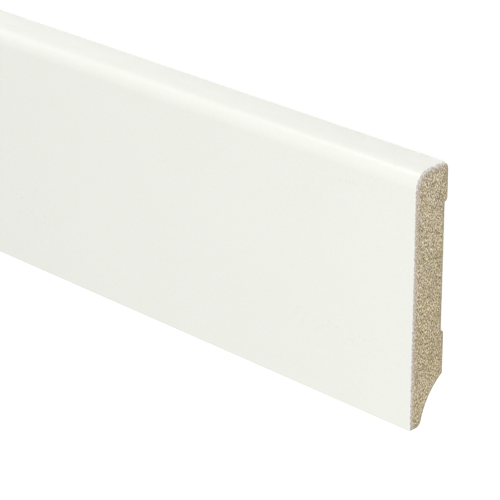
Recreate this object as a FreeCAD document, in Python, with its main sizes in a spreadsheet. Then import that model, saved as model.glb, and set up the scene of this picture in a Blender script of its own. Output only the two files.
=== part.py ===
"""Skirting board length: a moulded MDF board with a white foil wrapped over its face.

All lengths are in millimetres. The board lies on its back, as it is stacked and sold:
+X runs along its length, +Y points at the rounded top edge and +Z out of the white face.
The origin is on the floor, below the middle of the board.
"""
import FreeCAD, Part
import os
from math import atan2, cos, degrees, radians, sin, sqrt

import Sketcher

# The driving sizes. Heights are taken from the toe, the edge that meets the room's floor.
DRIVING_SIZES = {
    "board_length": 2400.0,
    "board_height": 70.0,
    "board_thickness": 12.0,
    "foil_thickness": 0.4,
    "foil_wrap_angle": 15.0,
    "face_round_radius": 5.0,
    "back_corner_radius": 2.0,
    "upper_land_width": 7.4,
    "lower_land_width": 11.0,
    "relief_depth": 1.0,
    "cove_start_height": 12.2,
    "cove_radius": 17.5,
    "toe_thickness": 4.0,
    "toe_corner_radius": 2.0,
}

# The ends of a line or an arc in a sketch, and the centre of an arc.
START = 1
END = 2
CENTRE = 3

# In a section, x runs up the board from the middle of its height and y out of its back.
BACK_PLANE = -1
ORIGIN = (-1, START)


def make_sheet(doc):
    """The sheet of driving sizes, one to a row."""
    sheet = doc.addObject("Spreadsheet::Sheet", "sizes")
    for row, (alias, value) in enumerate(DRIVING_SIZES.items(), start=1):
        sheet.set(f"A{row}", alias)
        sheet.set(f"B{row}", str(value))
        sheet.setAlias(f"B{row}", alias)
    doc.recompute()
    return sheet


def add_line(sketch, start, end):
    """A straight edge of the section."""
    first = FreeCAD.Vector(start[0], start[1], 0)
    last = FreeCAD.Vector(end[0], end[1], 0)
    return sketch.addGeometry(Part.LineSegment(first, last), False)


def add_arc(sketch, centre, radius, first_angle, last_angle):
    """A rounded edge of the section, anticlockwise between two angles in degrees."""
    middle = FreeCAD.Vector(centre[0], centre[1], 0)
    circle = Part.Circle(middle, FreeCAD.Vector(0, 0, 1), radius)
    arc = Part.ArcOfCircle(circle, radians(first_angle), radians(last_angle))
    return sketch.addGeometry(arc, False)


def rule(sketch, *constraint):
    """A rule of the section that has no size."""
    sketch.addConstraint(Sketcher.Constraint(*constraint))


def measure(sketch, name, expression, *constraint):
    """A size of the section, named and worked out from the sheet."""
    index = sketch.addConstraint(Sketcher.Constraint(*constraint))
    sketch.renameConstraint(index, name)
    sketch.setExpression(f"Constraints.{name}", expression)


def new_section(doc, node):
    """A body with an empty sketch that stands across the board's length."""
    body = doc.addObject("PartDesign::Body", node)
    across = next(plane for plane in body.Origin.OriginFeatures if plane.Role == "YZ_Plane")
    sketch = body.newObject("Sketcher::SketchObject", f"{node}_section")
    sketch.AttachmentSupport = [(across, "")]
    sketch.MapMode = "FlatFace"
    return body, sketch


def run_to_length(body, sketch):
    """The section run out to the board's length, half to each side of its middle."""
    pad = body.newObject("PartDesign::Pad", f"{body.Name}_run")
    pad.Profile = sketch
    pad.SideType = "Symmetric"
    pad.setExpression("Length", "sizes.board_length")


def make_core(doc, size):
    """The MDF: a flat face, a rounded top, a relieved back and a hollow behind the toe."""
    body, sketch = new_section(doc, "mdf_core")
    toe = -size.board_height / 2
    top = size.board_height / 2 - size.foil_thickness
    face = size.board_thickness - size.foil_thickness
    face_radius = size.face_round_radius - size.foil_thickness
    back_radius = size.back_corner_radius
    depth = size.relief_depth
    cove_start = toe + size.cove_start_height
    lower_land_end = cove_start + size.lower_land_width
    upper_land_end = top - back_radius - size.upper_land_width

    # The hollow's circle starts on the back and would leave at the toe's full thickness.
    # Its centre lies behind the board, square to the middle of that chord.
    chord_start = FreeCAD.Vector(cove_start, 0, 0)
    chord_end = FreeCAD.Vector(toe, size.board_thickness - size.toe_thickness, 0)
    chord = chord_end - chord_start
    square = FreeCAD.Vector(-chord.y, chord.x, 0).normalize()
    centre_distance = sqrt(size.cove_radius ** 2 - (chord.Length / 2) ** 2)
    cove_centre = (chord_start + chord_end) / 2 + square * centre_distance
    cove_first = degrees(atan2(-cove_centre.y, cove_start - cove_centre.x))

    # The toe's back corner is a small circle that rolls against the hollow's.
    corner_radius = size.toe_corner_radius
    rise = toe + corner_radius - cove_centre.x
    run = sqrt((size.cove_radius + corner_radius) ** 2 - rise ** 2)
    corner_centre = FreeCAD.Vector(cove_centre.x + rise, cove_centre.y + run, 0)
    cove_last = degrees(atan2(run, rise))

    flat_face = add_line(sketch, (top - face_radius, face), (toe, face))
    toe_edge = add_line(sketch, (toe, face), (toe, corner_centre.y))
    toe_corner = add_arc(sketch, corner_centre, corner_radius, 180, 180 + cove_last)
    cove = add_arc(sketch, cove_centre, size.cove_radius, cove_first, cove_last)
    lower_land = add_line(sketch, (cove_start, 0), (lower_land_end, 0))
    lower_lip = add_arc(sketch, (lower_land_end, depth), depth, 270, 360)
    relief = add_line(sketch, (lower_land_end + depth, depth), (upper_land_end - depth, depth))
    upper_lip = add_arc(sketch, (upper_land_end, depth), depth, 180, 270)
    upper_land = add_line(sketch, (upper_land_end, 0), (top - back_radius, 0))
    back_corner = add_arc(sketch, (top - back_radius, back_radius), back_radius, 270, 360)
    top_edge = add_line(sketch, (top, back_radius), (top, face - face_radius))
    face_round = add_arc(sketch, (top - face_radius, face - face_radius), face_radius, 0, 90)

    # The edges in turn round the section, sharp at four corners and smooth elsewhere.
    rule(sketch, "Coincident", flat_face, END, toe_edge, START)
    rule(sketch, "Tangent", toe_edge, END, toe_corner, START)
    rule(sketch, "Tangent", toe_corner, END, cove, END)
    rule(sketch, "Coincident", cove, START, lower_land, START)
    rule(sketch, "Tangent", lower_land, END, lower_lip, START)
    rule(sketch, "Coincident", lower_lip, END, relief, START)
    rule(sketch, "Coincident", relief, END, upper_lip, START)
    rule(sketch, "Tangent", upper_lip, END, upper_land, START)
    rule(sketch, "Tangent", upper_land, END, back_corner, START)
    rule(sketch, "Tangent", back_corner, END, top_edge, START)
    rule(sketch, "Tangent", top_edge, END, face_round, START)
    rule(sketch, "Tangent", face_round, END, flat_face, START)
    for level_edge in (flat_face, lower_land, relief, upper_land):
        rule(sketch, "Horizontal", level_edge)
    for upright_edge in (toe_edge, top_edge):
        rule(sketch, "Vertical", upright_edge)
    rule(sketch, "PointOnObject", lower_land, START, BACK_PLANE)
    rule(sketch, "PointOnObject", upper_land, START, BACK_PLANE)
    # Each lip is a quarter round as deep as the relief, with its centre level with the floor
    # of the relief.
    rule(sketch, "PointOnObject", lower_lip, CENTRE, relief)
    rule(sketch, "PointOnObject", upper_lip, CENTRE, relief)

    measure(sketch, "toe", "sizes.board_height / 2",
            "DistanceX", toe_edge, END, *ORIGIN, -toe)
    measure(sketch, "top", "sizes.board_height / 2 - sizes.foil_thickness",
            "DistanceX", *ORIGIN, top_edge, START, top)
    measure(sketch, "face", "sizes.board_thickness - sizes.foil_thickness",
            "DistanceY", *ORIGIN, flat_face, END, face)
    measure(sketch, "face_round", "sizes.face_round_radius - sizes.foil_thickness",
            "Radius", face_round, face_radius)
    measure(sketch, "back_corner", "sizes.back_corner_radius",
            "Radius", back_corner, back_radius)
    measure(sketch, "upper_land", "sizes.upper_land_width",
            "DistanceX", upper_land, START, upper_land, END, size.upper_land_width)
    measure(sketch, "lower_land", "sizes.lower_land_width",
            "DistanceX", lower_land, START, lower_land, END, size.lower_land_width)
    measure(sketch, "relief_depth", "sizes.relief_depth",
            "DistanceY", *ORIGIN, relief, START, depth)
    measure(sketch, "cove_start", "sizes.cove_start_height",
            "DistanceX", toe_edge, END, cove, START, size.cove_start_height)
    measure(sketch, "cove_radius", "sizes.cove_radius",
            "Radius", cove, size.cove_radius)
    measure(sketch, "toe_corner", "sizes.toe_corner_radius",
            "Radius", toe_corner, corner_radius)

    # A construction point where the hollow would leave the toe, if its corner were sharp.
    sharp_toe = sketch.addGeometry(Part.Point(chord_end), True)
    rule(sketch, "PointOnObject", sharp_toe, START, cove)
    rule(sketch, "PointOnObject", sharp_toe, START, toe_edge)
    measure(sketch, "toe_thickness", "sizes.toe_thickness - sizes.foil_thickness",
            "DistanceY", sharp_toe, START, flat_face, END, face - chord_end.y)

    run_to_length(body, sketch)
    return body


def make_foil(doc, size):
    """The foil: one thickness over the face, round the top and a little way down the back."""
    body, sketch = new_section(doc, "white_foil")
    toe = -size.board_height / 2
    top = size.board_height / 2
    face = size.board_thickness
    foil = size.foil_thickness
    round_radius = size.face_round_radius
    round_centre = (top - round_radius, face - round_radius)
    back_radius = size.back_corner_radius
    back_centre = FreeCAD.Vector(top - foil - back_radius, back_radius, 0)
    wrap = radians(size.foil_wrap_angle)
    towards_edge = FreeCAD.Vector(cos(wrap), -sin(wrap), 0)
    inner_edge = back_centre + towards_edge * back_radius
    outer_edge = back_centre + towards_edge * (back_radius + foil)

    outer_face = add_line(sketch, (round_centre[0], face), (toe, face))
    toe_cut = add_line(sketch, (toe, face), (toe, face - foil))
    inner_face = add_line(sketch, (toe, face - foil), (round_centre[0], face - foil))
    inner_round = add_arc(sketch, round_centre, round_radius - foil, 0, 90)
    inner_top = add_line(sketch, (top - foil, round_centre[1]), (top - foil, back_radius))
    inner_wrap = add_arc(sketch, back_centre, back_radius, -size.foil_wrap_angle, 0)
    back_cut = add_line(sketch, inner_edge, outer_edge)
    outer_wrap = add_arc(sketch, back_centre, back_radius + foil, -size.foil_wrap_angle, 0)
    outer_top = add_line(sketch, (top, back_radius), (top, round_centre[1]))
    outer_round = add_arc(sketch, round_centre, round_radius, 0, 90)

    rule(sketch, "Coincident", outer_face, END, toe_cut, START)
    rule(sketch, "Coincident", toe_cut, END, inner_face, START)
    rule(sketch, "Tangent", inner_face, END, inner_round, END)
    rule(sketch, "Tangent", inner_round, START, inner_top, START)
    rule(sketch, "Tangent", inner_top, END, inner_wrap, END)
    rule(sketch, "Coincident", inner_wrap, START, back_cut, START)
    rule(sketch, "Coincident", back_cut, END, outer_wrap, START)
    rule(sketch, "Tangent", outer_wrap, END, outer_top, START)
    rule(sketch, "Tangent", outer_top, END, outer_round, START)
    rule(sketch, "Tangent", outer_round, END, outer_face, START)
    rule(sketch, "Coincident", outer_round, CENTRE, inner_round, CENTRE)
    rule(sketch, "Coincident", outer_wrap, CENTRE, inner_wrap, CENTRE)
    for level_edge in (outer_face, inner_face):
        rule(sketch, "Horizontal", level_edge)
    for upright_edge in (toe_cut, inner_top, outer_top):
        rule(sketch, "Vertical", upright_edge)
    # The foil's back edge is cut square to the corner that it wraps.
    rule(sketch, "PointOnObject", outer_wrap, CENTRE, back_cut)

    measure(sketch, "toe", "sizes.board_height / 2",
            "DistanceX", toe_cut, START, *ORIGIN, -toe)
    measure(sketch, "top", "sizes.board_height / 2",
            "DistanceX", *ORIGIN, outer_top, START, top)
    measure(sketch, "face", "sizes.board_thickness",
            "DistanceY", *ORIGIN, outer_face, END, face)
    measure(sketch, "thickness", "sizes.foil_thickness",
            "DistanceY", toe_cut, END, toe_cut, START, foil)
    measure(sketch, "face_round", "sizes.face_round_radius",
            "Radius", outer_round, round_radius)
    measure(sketch, "wrap_radius", "sizes.back_corner_radius",
            "Radius", inner_wrap, back_radius)
    measure(sketch, "wrap_centre", "sizes.back_corner_radius",
            "DistanceY", *ORIGIN, inner_wrap, CENTRE, back_radius)
    measure(sketch, "wrap_angle", "-sizes.foil_wrap_angle", "Angle", back_cut, -wrap)

    run_to_length(body, sketch)
    return body


def check(doc, bodies):
    """Stops the build where a feature failed or a piece is not one sound solid."""
    for feature in doc.Objects:
        if "Invalid" in feature.State or "Error" in feature.State:
            raise RuntimeError(f"{feature.Label} failed: {feature.State}")
    for body in bodies:
        if body.Shape.isNull() or not body.Shape.isValid() or len(body.Shape.Solids) != 1:
            raise RuntimeError(f"{body.Label} is not one sound solid")


doc = FreeCAD.newDocument("skirting_board_length")
sizes = make_sheet(doc)
board_parts = [make_core(doc, sizes), make_foil(doc, sizes)]
doc.recompute()
check(doc, board_parts)

os.makedirs("parts", exist_ok=True)
for board_part in board_parts:
    board_part.Shape.exportStep(f"parts/{board_part.Label}.step")
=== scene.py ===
"""A length of white skirting board, lying on its back and seen from above its sawn end."""
from math import cos, pi, radians, sin
import random

import bpy
from mathutils import Matrix, Vector
from mathutils.geometry import delaunay_2d_cdt
from mathutils.kdtree import KDTree


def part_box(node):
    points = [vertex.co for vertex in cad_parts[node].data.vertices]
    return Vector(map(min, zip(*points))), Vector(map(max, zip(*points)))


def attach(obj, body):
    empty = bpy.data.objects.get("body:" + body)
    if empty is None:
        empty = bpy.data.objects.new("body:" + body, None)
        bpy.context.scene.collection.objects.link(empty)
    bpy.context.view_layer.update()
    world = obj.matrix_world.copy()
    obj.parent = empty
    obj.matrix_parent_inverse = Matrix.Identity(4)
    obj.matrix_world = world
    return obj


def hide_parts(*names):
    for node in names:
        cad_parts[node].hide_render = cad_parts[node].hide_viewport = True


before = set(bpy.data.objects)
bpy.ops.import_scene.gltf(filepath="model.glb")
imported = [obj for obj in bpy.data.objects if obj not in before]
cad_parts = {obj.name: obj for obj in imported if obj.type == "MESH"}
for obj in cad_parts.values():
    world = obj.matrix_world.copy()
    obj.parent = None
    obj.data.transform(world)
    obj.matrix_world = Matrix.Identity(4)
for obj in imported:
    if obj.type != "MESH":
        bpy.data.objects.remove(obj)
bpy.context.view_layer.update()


# The fibreboard
# One length of medium-density fibreboard, moulded all round in one pass: a flat face, a
# rounded top, a shallow relief along the back and a hollow that clears the foot of the wall.
# Both ends are sawn square, which tears the fibres up into light and dark flecks.

core_low, core_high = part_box("mdf_core")
toe = core_low.y
core_top = core_high.y
core_face = core_high.z
board_length = core_high.x - core_low.x

foil_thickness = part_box("white_foil")[1].z - core_face
face_round_radius = 0.005
back_corner_radius = 0.002
upper_land_width = 0.0074
lower_land_width = 0.011
relief_depth = 0.001
cove_start_height = 0.0122
cove_radius = 0.0175
toe_thickness = 0.004
toe_corner_radius = 0.002

# The middle of the top round, which the board and its foil share.
round_centre = Vector((core_top + foil_thickness - face_round_radius,
                       core_face + foil_thickness - face_round_radius))
back_corner_centre = Vector((core_top - back_corner_radius, back_corner_radius))


def straight(start, end, spacing):
    """Points along a straight edge of a section, up to its end but without it."""
    steps = max(1, round((end - start).length / spacing))
    return [start.lerp(end, i / steps) for i in range(steps)]


def bend(centre, radius, first, last, spacing):
    """Points along a rounded edge from one angle to another, without the last."""
    steps = max(2, round(abs(last - first) * radius / spacing))
    angles = (first + (last - first) * i / steps for i in range(steps))
    return [centre + radius * Vector((cos(a), sin(a))) for a in angles]


def angle_to(centre, point):
    """The direction of a point from a rounded edge's centre."""
    return Vector((1, 0)).angle_signed(point - centre, 0) * -1


def core_outline(spacing):
    """The board's section, anticlockwise from the toe's front corner, as y and z."""
    cove_start = Vector((toe + cove_start_height, 0))
    sharp_toe = Vector((toe, core_face + foil_thickness - toe_thickness))
    chord = sharp_toe - cove_start
    to_centre = Vector((-chord.y, chord.x)).normalized()
    rise = (cove_radius ** 2 - (chord.length / 2) ** 2) ** 0.5
    cove_centre = (cove_start + sharp_toe) / 2 + to_centre * rise
    along = toe + toe_corner_radius - cove_centre.x
    out = ((cove_radius + toe_corner_radius) ** 2 - along ** 2) ** 0.5
    toe_centre = cove_centre + Vector((along, out))
    cove_tip = angle_to(cove_centre, toe_centre)

    lower_lip = Vector((cove_start.x + lower_land_width, relief_depth))
    upper_lip = Vector((back_corner_centre.x - upper_land_width, relief_depth))
    lip = Vector((relief_depth, 0))
    face_start = Vector((round_centre.x, core_face))
    return [
        *straight(Vector((toe, core_face)), Vector((toe, toe_centre.y)), spacing),
        *bend(toe_centre, toe_corner_radius, pi, pi + cove_tip, spacing),
        *bend(cove_centre, cove_radius, cove_tip, angle_to(cove_centre, cove_start), spacing),
        *straight(cove_start, Vector((lower_lip.x, 0)), spacing),
        *bend(lower_lip, relief_depth, radians(270), radians(360), spacing),
        *straight(lower_lip + lip, upper_lip - lip, spacing),
        *bend(upper_lip, relief_depth, radians(180), radians(270), spacing),
        *straight(Vector((upper_lip.x, 0)), Vector((back_corner_centre.x, 0)), spacing),
        *bend(back_corner_centre, back_corner_radius, radians(270), radians(360), spacing),
        *straight(Vector((core_top, back_corner_radius)), Vector((core_top, round_centre.y)),
                  spacing),
        *bend(round_centre, face_round_radius - foil_thickness, 0, radians(90), spacing),
        *straight(face_start, Vector((toe, core_face)), spacing),
    ]


def fibre_points(outline, spacing, seed):
    """Loose points inside the outline, one to each clump of fibres."""
    scatter = random.Random(seed)
    first = round(min(p.x for p in outline) / spacing)
    last = round(max(p.x for p in outline) / spacing)
    inside = []
    for column in range(first + 1, last):
        y = column * spacing
        crossings = []
        for a, b in zip(outline, outline[1:] + outline[:1]):
            if (a.x > y) != (b.x > y):
                crossings.append(a.y + (b.y - a.y) * (y - a.x) / (b.x - a.x))
        low, high = min(crossings), max(crossings)
        rows = int((high - low) / spacing)
        for row in range(1, rows):
            z = low + (high - low) * row / rows
            loose = Vector((scatter.uniform(-1, 1), scatter.uniform(-1, 1))) * spacing / 4
            inside.append(Vector((y, z)) + loose)
    return inside


def under_foil(point):
    """How deep a point of the section lies under the foil."""
    beyond = point - round_centre
    if min(beyond) > 0:
        return face_round_radius - foil_thickness - beyond.length
    return min(core_face - point.y, core_top - point.x)


glue_depth = 0.0015
round_glue_depth = 0.0021


def glued(point):
    """How much glue the board holds here: one right under the foil, and none far from it."""
    reach = round_glue_depth if min(point - round_centre) > 0 else glue_depth
    return 1 - under_foil(point) / reach


def torn(point):
    """Where the saw tears the foil loose: round the top, but not along the face."""
    return float(point.x > round_centre.x)


def nearest_on(points):
    """A search for the nearest of these points to another, with its number and distance."""
    tree = KDTree(len(points))
    for i, p in enumerate(points):
        tree.insert((p.x, p.y, 0), i)
    tree.balance()
    return lambda point: tree.find((point.x, point.y, 0))[1:]


def from_bare_side(outline):
    """A measure of how far a point of the section is from the nearest side without foil."""
    nearest = nearest_on([p for p in outline if under_foil(p) > foil_thickness])
    return lambda point: nearest(point)[1]


def way_round(outline):
    """A measure of how far round its section a point of the outline lies, from none to one."""
    nearest = nearest_on(outline)
    return lambda point: nearest(point)[0] / len(outline)


def section_mesh(name, outline, inside, measures, finish):
    """A section as one flat sheet of small triangles, with what was measured at each point."""
    measures = {**measures, "way_round": way_round(outline)}
    in_millimetres = 1000
    same_point = 1e-6
    inside_only = 1
    points = [p * in_millimetres for p in outline + inside]
    flat, _, triangles, *_ = delaunay_2d_cdt(points, [], [list(range(len(outline)))],
                                             inside_only, same_point)
    mesh = bpy.data.meshes.new(name)
    mesh.from_pydata([(0, p.x / in_millimetres, p.y / in_millimetres) for p in flat], [],
                     triangles)
    for measure, take in measures.items():
        layer = mesh.attributes.new(measure, "FLOAT", "POINT")
        layer.data.foreach_set("value", [take(p / in_millimetres) for p in flat])
    mesh.materials.append(finish)
    return mesh


def node_adder(tree):
    """A short way to add nodes to a tree, with their inputs set to a value or joined."""
    def add(kind, inputs=None, **settings):
        node = tree.nodes.new(kind)
        for key, value in settings.items():
            setattr(node, key, value)
        for key, value in (inputs or {}).items():
            if isinstance(value, bpy.types.NodeSocket):
                tree.links.new(value, node.inputs[key])
            else:
                node.inputs[key].default_value = value
        return node
    return add


def speckle(add, place, scale, detail, roughness=0.5, distortion=0.0):
    """Random tone all through a piece, with so many grains to the metre."""
    return add("ShaderNodeTexNoise", {"Vector": place, "Scale": scale, "Detail": detail,
                                      "Roughness": roughness,
                                      "Distortion": distortion}).outputs["Fac"]


def graded(add, value, ends, becomes=(0.0, 1.0)):
    """A value between two ends, made to run between two others and held there."""
    return add("ShaderNodeMapRange", {"Value": value, "From Min": ends[0], "From Max": ends[1],
                                      "To Min": becomes[0], "To Max": becomes[1]}).outputs[0]


def build_sawn_length():
    """Geometry Nodes for a section run out to its length and sawn square at both ends.

    The saw takes a little more from the soft fibres than from the hard ones and chips what
    is brittle, so that each end is rough, always inside the sawn length.
    """
    tree = bpy.data.node_groups.new("sawn_length", "GeometryNodeTree")
    add = node_adder(tree)
    sockets = tree.interface
    sockets.new_socket("Section", in_out="INPUT", socket_type="NodeSocketGeometry")
    sockets.new_socket("Stretches", in_out="INPUT", socket_type="NodeSocketInt")
    for name in ("Length", "End stretch", "Saw roughness", "Fibre size", "Chip depth",
                 "Chip size", "Sharp angle"):
        sockets.new_socket(name, in_out="INPUT", socket_type="NodeSocketFloat")
    for name in ("Moulded surface", "Sawn surface"):
        sockets.new_socket(name, in_out="INPUT", socket_type="NodeSocketMaterial")
    sockets.new_socket("Board", in_out="OUTPUT", socket_type="NodeSocketGeometry")
    given = add("NodeGroupInput").outputs

    def maths(operation, a, b=0.0):
        return add("ShaderNodeMath", {0: a, 1: b}, operation=operation).outputs[0]

    def compare(operation, a, b):
        return add("FunctionNodeCompare", {"A": a, "B": b}, operation=operation).outputs[0]

    def along_board(distance):
        return add("ShaderNodeCombineXYZ", {"X": distance}).outputs[0]

    # The section starts at one end and runs to the other in stretches, a short one at each end.
    half_length = maths("MULTIPLY", given["Length"], 0.5)
    one_end = add("GeometryNodeSetPosition", {
        "Geometry": given["Section"],
        "Offset": along_board(maths("MULTIPLY", half_length, -1.0))}).outputs[0]
    two_ends = maths("MULTIPLY", given["End stretch"], 2.0)
    long_stretch = maths("DIVIDE", maths("SUBTRACT", given["Length"], two_ends),
                         maths("SUBTRACT", given["Stretches"], 2.0))
    enter = add("GeometryNodeRepeatInput")
    leave = add("GeometryNodeRepeatOutput")
    enter.pair_with_output(leave)
    leave.repeat_items.new("BOOLEAN", "Front")
    tree.links.new(given["Stretches"], enter.inputs["Iterations"])
    tree.links.new(one_end, enter.inputs["Geometry"])
    enter.inputs["Front"].default_value = True
    last = maths("SUBTRACT", given["Stretches"], 1.0)
    in_middle = maths("MULTIPLY", compare("GREATER_THAN", enter.outputs["Iteration"], 0.5),
                      compare("LESS_THAN", enter.outputs["Iteration"],
                              maths("SUBTRACT", last, 0.5)))
    stretch = graded(add, in_middle, (0.0, 1.0), (given["End stretch"], long_stretch))
    run = add("GeometryNodeExtrudeMesh", {
        "Mesh": enter.outputs["Geometry"], "Selection": enter.outputs["Front"],
        "Offset": along_board(1.0), "Offset Scale": stretch, "Individual": False}, mode="FACES")
    tree.links.new(run.outputs["Mesh"], leave.inputs["Geometry"])
    tree.links.new(run.outputs["Top"], leave.inputs["Front"])
    other_end = add("GeometryNodeFlipFaces", {"Mesh": one_end})
    both = add("GeometryNodeJoinGeometry", {0: leave.outputs["Geometry"]})
    tree.links.new(other_end.outputs[0], both.inputs[0])
    closed = add("GeometryNodeMergeByDistance", {"Geometry": both.outputs[0],
                                                 "Distance": 1e-6}).outputs[0]

    # Smooth round the moulded edges and crisp at the arrises and the saw cuts.
    is_sharp = compare("GREATER_THAN",
                       add("GeometryNodeInputMeshEdgeAngle").outputs["Unsigned Angle"],
                       given["Sharp angle"])
    smooth = add("GeometryNodeSetShadeSmooth", {"Geometry": closed}, domain="FACE").outputs[0]
    crisp = add("GeometryNodeSetShadeSmooth", {
        "Geometry": smooth, "Selection": is_sharp, "Shade Smooth": False}, domain="EDGE")

    # The faces right at an end are its saw cut.
    place = add("GeometryNodeInputPosition").outputs[0]
    side = add("ShaderNodeSeparateXYZ", {0: place}).outputs["X"]
    from_end = maths("SUBTRACT", half_length, maths("ABSOLUTE", side))
    is_cut = compare("LESS_THAN", from_end, maths("MULTIPLY", given["End stretch"], 0.25))
    kept = add("GeometryNodeCaptureAttribute", domain="FACE")
    kept.capture_items.new("BOOLEAN", "Cut")
    tree.links.new(crisp.outputs[0], kept.inputs["Geometry"])
    tree.links.new(is_cut, kept.inputs["Cut"])

    # The saw's bite: each fibre is worn back towards the middle of the board.
    fibres = speckle(add, place, maths("DIVIDE", 1.0, given["Fibre size"]), detail=2.0,
                     roughness=0.6)
    chips = speckle(add, place, maths("DIVIDE", 1.0, given["Chip size"]), detail=1.0)
    brittle = add("GeometryNodeInputNamedAttribute", {"Name": "chipping"}, data_type="FLOAT")
    chip = maths("MULTIPLY", maths("MULTIPLY", graded(add, chips, (0.45, 0.62)),
                                   brittle.outputs[0]), given["Chip depth"])
    bite = maths("ADD", maths("MULTIPLY", fibres, given["Saw roughness"]), chip)
    inward = maths("MULTIPLY", maths("SIGN", side), -1.0)
    worn = add("GeometryNodeSetPosition", {
        "Geometry": kept.outputs["Geometry"], "Selection": is_cut,
        "Offset": along_board(maths("MULTIPLY", bite, inward))}).outputs[0]

    real = add("GeometryNodeRealizeInstances", {0: worn}).outputs[0]
    moulded = add("GeometryNodeSetMaterial", {
        "Geometry": real, "Material": given["Moulded surface"]}).outputs[0]
    sawn = add("GeometryNodeSetMaterial", {
        "Geometry": moulded, "Selection": kept.outputs["Cut"],
        "Material": given["Sawn surface"]}).outputs[0]
    add("NodeGroupOutput", {0: sawn})
    return tree


sawn_length = build_sawn_length()


def lay_out(mesh, sawn_surface):
    """A map of the piece's surface: its two sawn ends drawn large, beside its length."""
    layer = mesh.uv_layers.new(name="OFBake").uv
    around = mesh.attributes["way_round"].data
    low = min(v.co.y for v in mesh.vertices)
    high = max(v.co.y for v in mesh.vertices)
    half_length = max(v.co.x for v in mesh.vertices)
    margin = 0.01
    span = 1 - 2 * margin
    end_band = 0.185
    for face in mesh.polygons:
        is_sawn = mesh.materials[face.material_index] == sawn_surface
        ways = [around[v].value for v in face.vertices]
        crosses_start = max(ways) - min(ways) > 0.5
        for corner, v, way in zip(face.loop_indices, face.vertices, ways):
            x, y, z = mesh.vertices[v].co
            if is_sawn:
                across = (y - low) / (high - low) * span
                up = z / (high - low) * span + end_band * (x < 0)
            else:
                across = (x / half_length + 1) / 2 * span
                way += crosses_start and way < 0.5
                up = 2 * end_band + way * (span - 2 * end_band)
            layer[corner].vector = (margin + across, margin + up)


def run_and_saw(name, section, sizes):
    """A piece made from its section by the sawn length tree, as a plain mesh."""
    draft = bpy.data.objects.new(f"{name}_draft", section)
    bpy.context.scene.collection.objects.link(draft)
    modifier = draft.modifiers.new("sawn_length", "NODES")
    modifier.node_group = sawn_length
    for socket in sawn_length.interface.items_tree:
        if socket.name in sizes:
            modifier[socket.identifier] = sizes[socket.name]
    evaluated = draft.evaluated_get(bpy.context.evaluated_depsgraph_get())
    mesh = bpy.data.meshes.new_from_object(evaluated)
    mesh.name = name
    lay_out(mesh, sizes["Sawn surface"])
    bpy.data.objects.remove(draft)
    piece = bpy.data.objects.new(name, mesh)
    bpy.context.scene.collection.objects.link(piece)
    return piece


def new_finish(name):
    """A material with its shader, and short ways to add and join its nodes."""
    material = bpy.data.materials.new(name)
    material.use_nodes = True
    tree = material.node_tree
    return material, tree.nodes["Principled BSDF"], node_adder(tree), tree.links.new


def toned(add, value, *stops):
    """The colour that a value takes on a scale of tones, each a place and a linear colour."""
    scale = add("ShaderNodeValToRGB", {"Fac": value})
    elements = scale.color_ramp.elements
    while len(elements) < len(stops):
        elements.new(0.5)
    for element, (place, colour) in zip(elements, stops):
        element.position = place
        element.color = (*colour, 1)
    return scale.outputs[0]


def blended(add, share, under, over):
    """One colour laid over another by a share from none to one."""
    return add("ShaderNodeMix", {"Factor": share, "A": under, "B": over},
               data_type="RGBA").outputs[2]


def tinted(add, colour, tint):
    """A colour multiplied by a tint, or by a number."""
    return add("ShaderNodeMix", {"Factor": 1.0, "A": colour, "B": tint},
               data_type="RGBA", blend_type="MULTIPLY").outputs[2]


def increased(add, value, share, extra):
    """A value with a share of another added to it."""
    return add("ShaderNodeMath", {0: extra, 1: share, 2: value},
               operation="MULTIPLY_ADD").outputs[0]


# How closely the fibres and their layers are packed: along, up and through the board.
fibre_packing = (1, 0.6, 1.6)
layer_packing = (1, 0.2, 1)
glue_mauve = (0.63, 0.56, 0.55, 1)
torn_white = (0.78, 0.74, 0.73, 1)
pressed_green = (0.36, 0.325, 0.215, 1)


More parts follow.
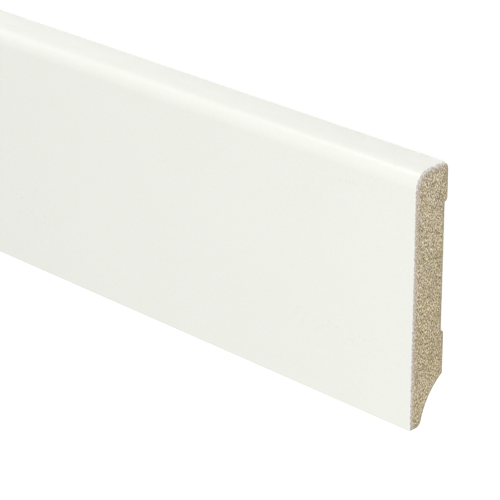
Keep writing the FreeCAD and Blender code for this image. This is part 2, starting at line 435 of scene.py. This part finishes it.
def sawn_fibreboard():
    """The saw cut: straw, brown and olive fibres, whitened by glue just under the foil."""
    material, shader, add, join = new_finish("sawn_fibreboard")
    place = add("ShaderNodeTexCoord").outputs["Object"]
    laid = add("ShaderNodeMapping", {"Vector": place, "Scale": fibre_packing}).outputs[0]
    fibres = speckle(add, laid, scale=3000, detail=4, roughness=0.85, distortion=0.2)
    tones = toned(add, fibres,
                  (0.375, (0.07, 0.042, 0.015)), (0.455, (0.26, 0.19, 0.1)),
                  (0.5, (0.405, 0.332, 0.2)), (0.542, (0.68, 0.595, 0.418)),
                  (0.588, (1.0, 0.98, 0.88)))
    clumps = speckle(add, place, scale=1700, detail=2, roughness=0.6)
    hues = toned(add, clumps, (0.35, (0.925, 1.0, 0.7)), (0.65, (1.08, 0.975, 1.2)))
    hued = tinted(add, tones, hues)

    # The board is laid up in faint bands. Light and shade are painted over them by height: darker
    # and a little browner a quarter of the way up, lighter towards the top.
    banked = add("ShaderNodeMapping", {"Vector": place, "Scale": layer_packing}).outputs[0]
    layers = speckle(add, banked, scale=900, detail=1)
    banded = tinted(add, hued, graded(add, layers, (0.3, 0.7), (0.9, 1.1)))
    height = add("ShaderNodeSeparateXYZ", {0: place}).outputs["Y"]
    # Painted light and shade: the tone of the sawn end changes with height.
    painted_light_by_height = toned(add, graded(add, height, (toe, core_top)),
                   (0.0, (1.01, 1.005, 0.96)), (0.14, (1.02, 1.0, 0.955)),
                   (0.22, (0.965, 0.945, 0.9)), (0.5, (1.005, 0.995, 0.97)),
                   (0.85, (1.03, 1.025, 1.04)), (1.0, (0.975, 0.97, 0.985)))
    shaded = tinted(add, banded, painted_light_by_height)

    # The glue line: a mauve haze under the foil, with white chips where the saw tore it.
    glue = add("ShaderNodeAttribute", attribute_name="glued").outputs["Fac"]
    tear = add("ShaderNodeAttribute", attribute_name="torn").outputs["Fac"]
    haze = graded(add, glue, (0.0, 1.0), (0.0, 0.6))
    hazed = blended(add, haze, shaded, glue_mauve)
    ragged = increased(add, glue, 2.2, clumps)
    chips = graded(add, increased(add, ragged, 0.25, tear), (2.1, 2.3), (0.0, 0.9))
    chipped = blended(add, chips, hazed, torn_white)

    # The skin of the board, pressed harder than its middle, is closer and greener.
    depth = add("ShaderNodeAttribute", attribute_name="from_bare_side").outputs["Fac"]
    skin = graded(add, depth, (0.0002, 0.0009), (0.65, 0.0))
    skinned = blended(add, skin, chipped, pressed_green)
    join(skinned, shader.inputs["Base Color"])
    shader.inputs["Roughness"].default_value = 0.95
    shader.inputs["Specular IOR Level"].default_value = 0.1
    nap = add("ShaderNodeBump", {"Height": fibres, "Strength": 0.5, "Distance": 0.00006})
    join(nap.outputs[0], shader.inputs["Normal"])
    return material


knife_pitch = 0.0018
knife_line_packing = (0.006, 1, 1)
pressed_tint = (0.9, 0.92, 0.9, 1)
bared_tint = (1.12, 1.1, 1.08, 1)


def moulded_fibreboard():
    """The planed back: pressed and sanded on its lands, and furrier where the knives cut in."""
    material, shader, add, join = new_finish("moulded_fibreboard")
    place = add("ShaderNodeTexCoord").outputs["Object"]
    fibres = speckle(add, place, scale=2200, detail=3, roughness=0.7)
    tones = toned(add, fibres, (0.3, (0.27, 0.195, 0.112)), (0.5, (0.43, 0.335, 0.212)),
                  (0.7, (0.58, 0.475, 0.325)))
    clouds = speckle(add, place, scale=50, detail=3, roughness=0.7)
    clouded = tinted(add, tones, graded(add, clouds, (0.3, 0.7), (0.95, 1.05)))
    drawn = add("ShaderNodeMapping", {"Vector": place, "Scale": knife_line_packing}).outputs[0]
    lines = speckle(add, drawn, scale=1100, detail=2, roughness=0.7)
    lined = tinted(add, clouded, graded(add, lines, (0.3, 0.7), (0.955, 1.045)))

    # The knives have bared paler fibre in the relief, the cove and the toe.
    depth = add("ShaderNodeSeparateXYZ", {0: place}).outputs["Z"]
    cut_in = graded(add, depth, (relief_depth * 0.1, relief_depth * 0.5))
    bared = blended(add, cut_in, pressed_tint, bared_tint)
    join(tinted(add, lined, bared), shader.inputs["Base Color"])
    join(graded(add, cut_in, (0.0, 1.0), (0.6, 0.9)), shader.inputs["Roughness"])
    shader.inputs["Specular IOR Level"].default_value = 0.2

    # Each turn of the cutter head leaves a shallow ripple across the board. The wave's bands
    # are pi / 10 apart at a scale of one.
    ripple = add("ShaderNodeTexWave", {"Vector": place, "Scale": pi / 10 / knife_pitch,
                                       "Distortion": 0.6, "Detail": 1}, bands_direction="X")
    height = increased(add, fibres, 0.25, ripple.outputs["Fac"])
    nap = add("ShaderNodeBump", {"Height": height, "Strength": 0.35, "Distance": 0.00005})
    join(nap.outputs[0], shader.inputs["Normal"])
    return material


fibre_spacing = 0.00025
outline = core_outline(fibre_spacing)
moulded_back = moulded_fibreboard()
core_section = section_mesh("core_section", outline,
                            fibre_points(outline, fibre_spacing, seed=4), {
                                "glued": glued,
                                "torn": torn,
                                "from_bare_side": from_bare_side(outline),
                            }, moulded_back)

# One pass of the saw goes through the board and its foil together.
saw_cut = {
    "Length": board_length,
    "Stretches": 42,
    "End stretch": 0.001,
    "Saw roughness": 0.00012,
    "Fibre size": 0.0006,
    "Chip size": 0.0009,
    "Sharp angle": radians(28),
}
core = run_and_saw("mdf_board", core_section, {
    **saw_cut,
    "Chip depth": 0.0,
    "Moulded surface": moulded_back,
    "Sawn surface": sawn_fibreboard(),
})
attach(core, "root")
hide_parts("mdf_core")


# The foil
# A skin of satin white finish foil, glued over the face, round the top and just onto the
# back corner. It is sawn through with the board, which leaves a thin ragged edge, greyer
# than its face.

foil_wrap_angle = radians(15)


def foil_outline(spacing):
    """The foil's section, along its inside to the back and home along its outside."""
    inner_face = Vector((round_centre.x, core_face))
    outer_face = inner_face + Vector((0, foil_thickness))
    inner_top = Vector((core_top, round_centre.y))
    outer_top = inner_top + Vector((foil_thickness, 0))
    inner_corner = Vector((core_top, back_corner_radius))
    outer_corner = inner_corner + Vector((foil_thickness, 0))
    round_inside = face_round_radius - foil_thickness
    wrap_outside = back_corner_radius + foil_thickness
    back_edge = Vector((cos(foil_wrap_angle), -sin(foil_wrap_angle)))
    inner_edge = back_corner_centre + back_edge * back_corner_radius
    outer_edge = back_corner_centre + back_edge * wrap_outside
    inner_toe = Vector((toe, core_face))
    outer_toe = inner_toe + Vector((0, foil_thickness))
    return [
        *straight(inner_toe, inner_face, spacing),
        *bend(round_centre, round_inside, radians(90), 0, spacing),
        *straight(inner_top, inner_corner, spacing),
        *bend(back_corner_centre, back_corner_radius, 0, -foil_wrap_angle, spacing),
        *straight(inner_edge, outer_edge, spacing),
        *bend(back_corner_centre, wrap_outside, -foil_wrap_angle, 0, spacing),
        *straight(outer_corner, outer_top, spacing),
        *bend(round_centre, face_round_radius, 0, radians(90), spacing),
        *straight(outer_face, outer_toe, spacing),
        *straight(outer_toe, inner_toe, spacing),
    ]


def out_of_board(point):
    """How far out through the foil a point lies: none where it is stuck, one at its face."""
    return -under_foil(point) / foil_thickness


def chipping(point):
    """How readily the foil's sawn edge chips: most at its face, where the saw tears it loose."""
    where_stuck = 0.1
    where_torn = 0.7
    return out_of_board(point) * (where_torn if torn(point) else where_stuck)


def scuff_places(seed):
    """Where the face is rubbed: from the sawn end, above the toe, and half the spread each way."""
    luck = random.Random(seed)
    near_end = [(0.027, 0.0613, 0.018, 0.0015), (0.026, 0.0195, 0.024, 0.0035),
                (0.142, 0.0185, 0.012, 0.007)]
    next_scuff = 0.25
    usual_gap = 0.27
    further = [(next_scuff + usual_gap * i + luck.uniform(-0.1, 0.1), luck.uniform(0.01, 0.062),
                luck.uniform(0.008, 0.03), luck.uniform(0.001, 0.004)) for i in range(8)]
    return near_end + further


arris_width = 0.0006
draw_width = 0.003
face_roughness = 0.62
round_roughness = 0.28
scuff_grey = (0.72, 0.72, 0.67, 1)
# The grey of the painted shade along the arris at the foot.
painted_arris_shade = (0.74, 0.75, 0.71, 1)


def foil_face():
    """Satin off-white with a fine peel, faintly clouded, and scuffed here and there."""
    material, shader, add, join = new_finish("foil_face")
    place = add("ShaderNodeTexCoord").outputs["Object"]
    clouds = speckle(add, place, scale=40, detail=3)
    grain = speckle(add, place, scale=1600, detail=2)
    tones = toned(add, increased(add, grain, 0.35, clouds),
                  (0.475, (0.841, 0.849, 0.788)), (0.875, (0.865, 0.873, 0.812)))

    # Each scuff is a crowd of tiny grey specks, thinner towards its edge.
    rubbed = 0.0
    for from_end, above_toe, half_length, half_width in scuff_places(seed=3):
        centred = add("ShaderNodeMapping", {
            "Vector": place, "Location": (core_high.x - from_end, toe + above_toe, 0),
            "Scale": (half_length, half_width, 1)}, vector_type="TEXTURE")
        out = add("ShaderNodeVectorMath", {0: centred.outputs[0]}, operation="LENGTH")
        crowd = graded(add, out.outputs["Value"], (1.3, 0.3))
        rubbed = add("ShaderNodeMath", {0: crowd, 1: rubbed}, operation="MAXIMUM").outputs[0]
    specks = graded(add, speckle(add, place, scale=1000, detail=3), (0.58, 0.7), (0.0, 0.45))
    scuffs = add("ShaderNodeMath", {0: rubbed, 1: specks}, operation="MULTIPLY").outputs[0]
    scuffed = blended(add, scuffs, tones, scuff_grey)

    # The arris at the foot is greyed a little: painted shade for its slight rounding, which turns
    # away from the light.
    height = add("ShaderNodeSeparateXYZ", {0: place}).outputs["Y"]
    arris_shade_share = graded(add, height, (toe, toe + arris_width), (0.45, 0.0))
    worn = blended(add, arris_shade_share, scuffed, painted_arris_shade)
    join(worn, shader.inputs["Base Color"])

    # The foil is duller where it lies flat on the face, and drawn smooth round the top.
    drawn = graded(add, height, (round_centre.x - draw_width, round_centre.x),
                   (face_roughness, round_roughness))
    join(increased(add, drawn, 0.05, clouds), shader.inputs["Roughness"])
    peel = add("ShaderNodeBump", {"Height": speckle(add, place, scale=1100, detail=2),
                                  "Strength": 0.15, "Distance": 0.00004})
    join(peel.outputs[0], shader.inputs["Normal"])
    return material


def foil_edge():
    """The sawn edge of the foil: white outside, and mauve grey with glue where it is stuck."""
    material, shader, add, join = new_finish("foil_edge")
    place = add("ShaderNodeTexCoord").outputs["Object"]
    chips = speckle(add, place, scale=1200, detail=2, roughness=0.6)
    out = add("ShaderNodeAttribute", attribute_name="out_of_board").outputs["Fac"]
    tones = toned(add, increased(add, chips, 0.4, out),
                  (0.5, (0.44, 0.37, 0.36)), (0.62, (0.64, 0.6, 0.59)),
                  (0.72, (0.88, 0.87, 0.83)))
    join(tones, shader.inputs["Base Color"])
    shader.inputs["Roughness"].default_value = 0.7
    return material


foil_spacing = 0.0002
satin_face = foil_face()
foil_section = section_mesh("foil_section", foil_outline(foil_spacing), [], {
    "out_of_board": out_of_board,
    "chipping": chipping,
}, satin_face)
foil = run_and_saw("foil_skin", foil_section, {
    **saw_cut,
    "Chip depth": 0.0003,
    "Moulded surface": satin_face,
    "Sawn surface": foil_edge(),
})
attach(foil, "root")
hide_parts("white_foil")


# The floor
# A plain pale floor that runs out of sight, a hair below the board. What looks at it directly
# sees it nearly white, with the board's shadow faint on it.

floor_half = 15.0
floor_drop = 0.00005
floor_glow = 0.86
floor_grey = 0.3
floor_grey_to_lamps = 0.8


def looked_at(add):
    """One for rays that look at a thing, straight or by way of gloss or glass, none for light."""
    ray = add("ShaderNodeLightPath").outputs
    direct = add("ShaderNodeMath", {0: ray["Is Camera Ray"], 1: ray["Is Glossy Ray"]},
                 operation="MAXIMUM")
    return add("ShaderNodeMath", {0: direct.outputs[0], 1: ray["Is Transmission Ray"]},
               operation="MAXIMUM").outputs[0]


def pale_floor():
    """Light grey to the lamps, and a white that still takes a faint shadow to the eye."""
    material, shader, add, join = new_finish("pale_floor")
    shader.inputs["Base Color"].default_value = (*[floor_grey_to_lamps] * 3, 1)
    shader.inputs["Roughness"].default_value = 0.9
    shader.inputs["Specular IOR Level"].default_value = 0
    seen = add("ShaderNodeBsdfDiffuse", {"Color": (*[floor_grey] * 3, 1)})
    glow = add("ShaderNodeEmission", {"Color": (1, 1, 1, 1), "Strength": floor_glow})
    bright = add("ShaderNodeAddShader", {0: seen.outputs[0], 1: glow.outputs[0]})
    both = add("ShaderNodeMixShader", {0: looked_at(add), 1: shader.outputs[0],
                                       2: bright.outputs[0]})
    join(both.outputs[0], material.node_tree.nodes["Material Output"].inputs["Surface"])
    return material


floor_mesh = bpy.data.meshes.new("floor")
floor_mesh.from_pydata([(x * floor_half, y * floor_half, -floor_drop)
                        for x, y in ((-1, -1), (1, -1), (1, 1), (-1, 1))], [], [(0, 1, 2, 3)])
floor_mesh.materials.append(pale_floor())
floor = bpy.data.objects.new("floor", floor_mesh)
bpy.context.scene.collection.objects.link(floor)


# The light
# Soft panels about the sawn end and two strips beside the top edge, in a white room. The
# strips draw the bright line along the round, and all are near enough to fade along the board.
# Two more panels light its other half, turned away from this one.

panel_size = (0.8, 0.8)
strip_size = (0.8, 0.3)
short_strip_size = (0.4, 0.2)
panel_distance = 1.3
aim_from_end = 0.1


def soft_panel(name, place, facing, size, brightness):
    """A flat light at a place, facing one way."""
    light = bpy.data.lights.new(name, "AREA")
    light.shape = "RECTANGLE"
    light.size, light.size_y = size
    light.energy = brightness * pi * light.size * light.size_y
    panel = bpy.data.objects.new(name, light)
    panel.location = place
    panel.rotation_euler = (-facing).to_track_quat("Z", "Y").to_euler()
    panel.visible_camera = False
    bpy.context.scene.collection.objects.link(panel)


def near_panel(name, turn, rise, size, brightness):
    """A light about the sawn end, so many degrees round from +X and up from the floor."""
    aim = Vector((core_high.x - aim_from_end, 0, 0))
    across, up = radians(turn), radians(rise)
    away = Vector((cos(up) * cos(across), cos(up) * sin(across), sin(up)))
    soft_panel(name, aim + panel_distance * away, -away, size, brightness)


near_panel("end_panel", 0, 45, panel_size, brightness=3.41)
near_panel("toe_side_panel", 315, 45, panel_size, brightness=2.37)
near_panel("top_side_panel", 90, 35, panel_size, brightness=1.43)
near_panel("far_panel", 135, 45, panel_size, brightness=0.46)
near_panel("far_strip", 135, 20, strip_size, brightness=1.93)
near_panel("near_strip", 112, 19, short_strip_size, brightness=13.8)

over_other_half = Vector((-0.6, 0, 1.2))
past_other_end = Vector((core_low.x - 0.5, 0, 0.9))
soft_panel("other_half_panel", over_other_half, facing=Vector((-0.9, 0, -0.8)),
           size=panel_size, brightness=3.5)
soft_panel("other_end_panel", past_other_end, facing=Vector((0.3, 0, -0.95)),
           size=panel_size, brightness=2.0)

room_light = 0.309
room_seen = 1.0
world = bpy.data.worlds.new("white_room")
world.use_nodes = True
bpy.context.scene.world = world
add_to_room = node_adder(world.node_tree)
room_level = graded(add_to_room, looked_at(add_to_room), (0.0, 1.0), (room_light, room_seen))
background = world.node_tree.nodes["Background"]
background.inputs["Color"].default_value = (1, 1, 1, 1)
world.node_tree.links.new(room_level, background.inputs["Strength"])

bpy.context.scene.view_settings.view_transform = "Standard"


# The camera
# A long lens above the sawn end, looking down at the face. It is held upright with the
# board's height, so that the board seems to stand.

camera_place = Vector((1.55507, 0.25580, 0.42531))
camera_aim = Vector((1.14383, -0.00258, 0.012))
camera_roll = radians(-0.224)
film_width = 36
focal_length = 176.436
lens = bpy.data.cameras.new("camera")
lens.sensor_width = film_width
lens.lens = focal_length
camera = bpy.data.objects.new("camera", lens)
forward = (camera_aim - camera_place).normalized()
right = forward.cross(Vector((0, 1, 0))).normalized()
up = right.cross(forward)
turned = Matrix((right, up, -forward)).transposed().to_4x4()
camera.matrix_world = (Matrix.Translation(camera_place) @ turned
                       @ Matrix.Rotation(camera_roll, 4, "Z"))
bpy.context.scene.collection.objects.link(camera)
bpy.context.scene.camera = camera
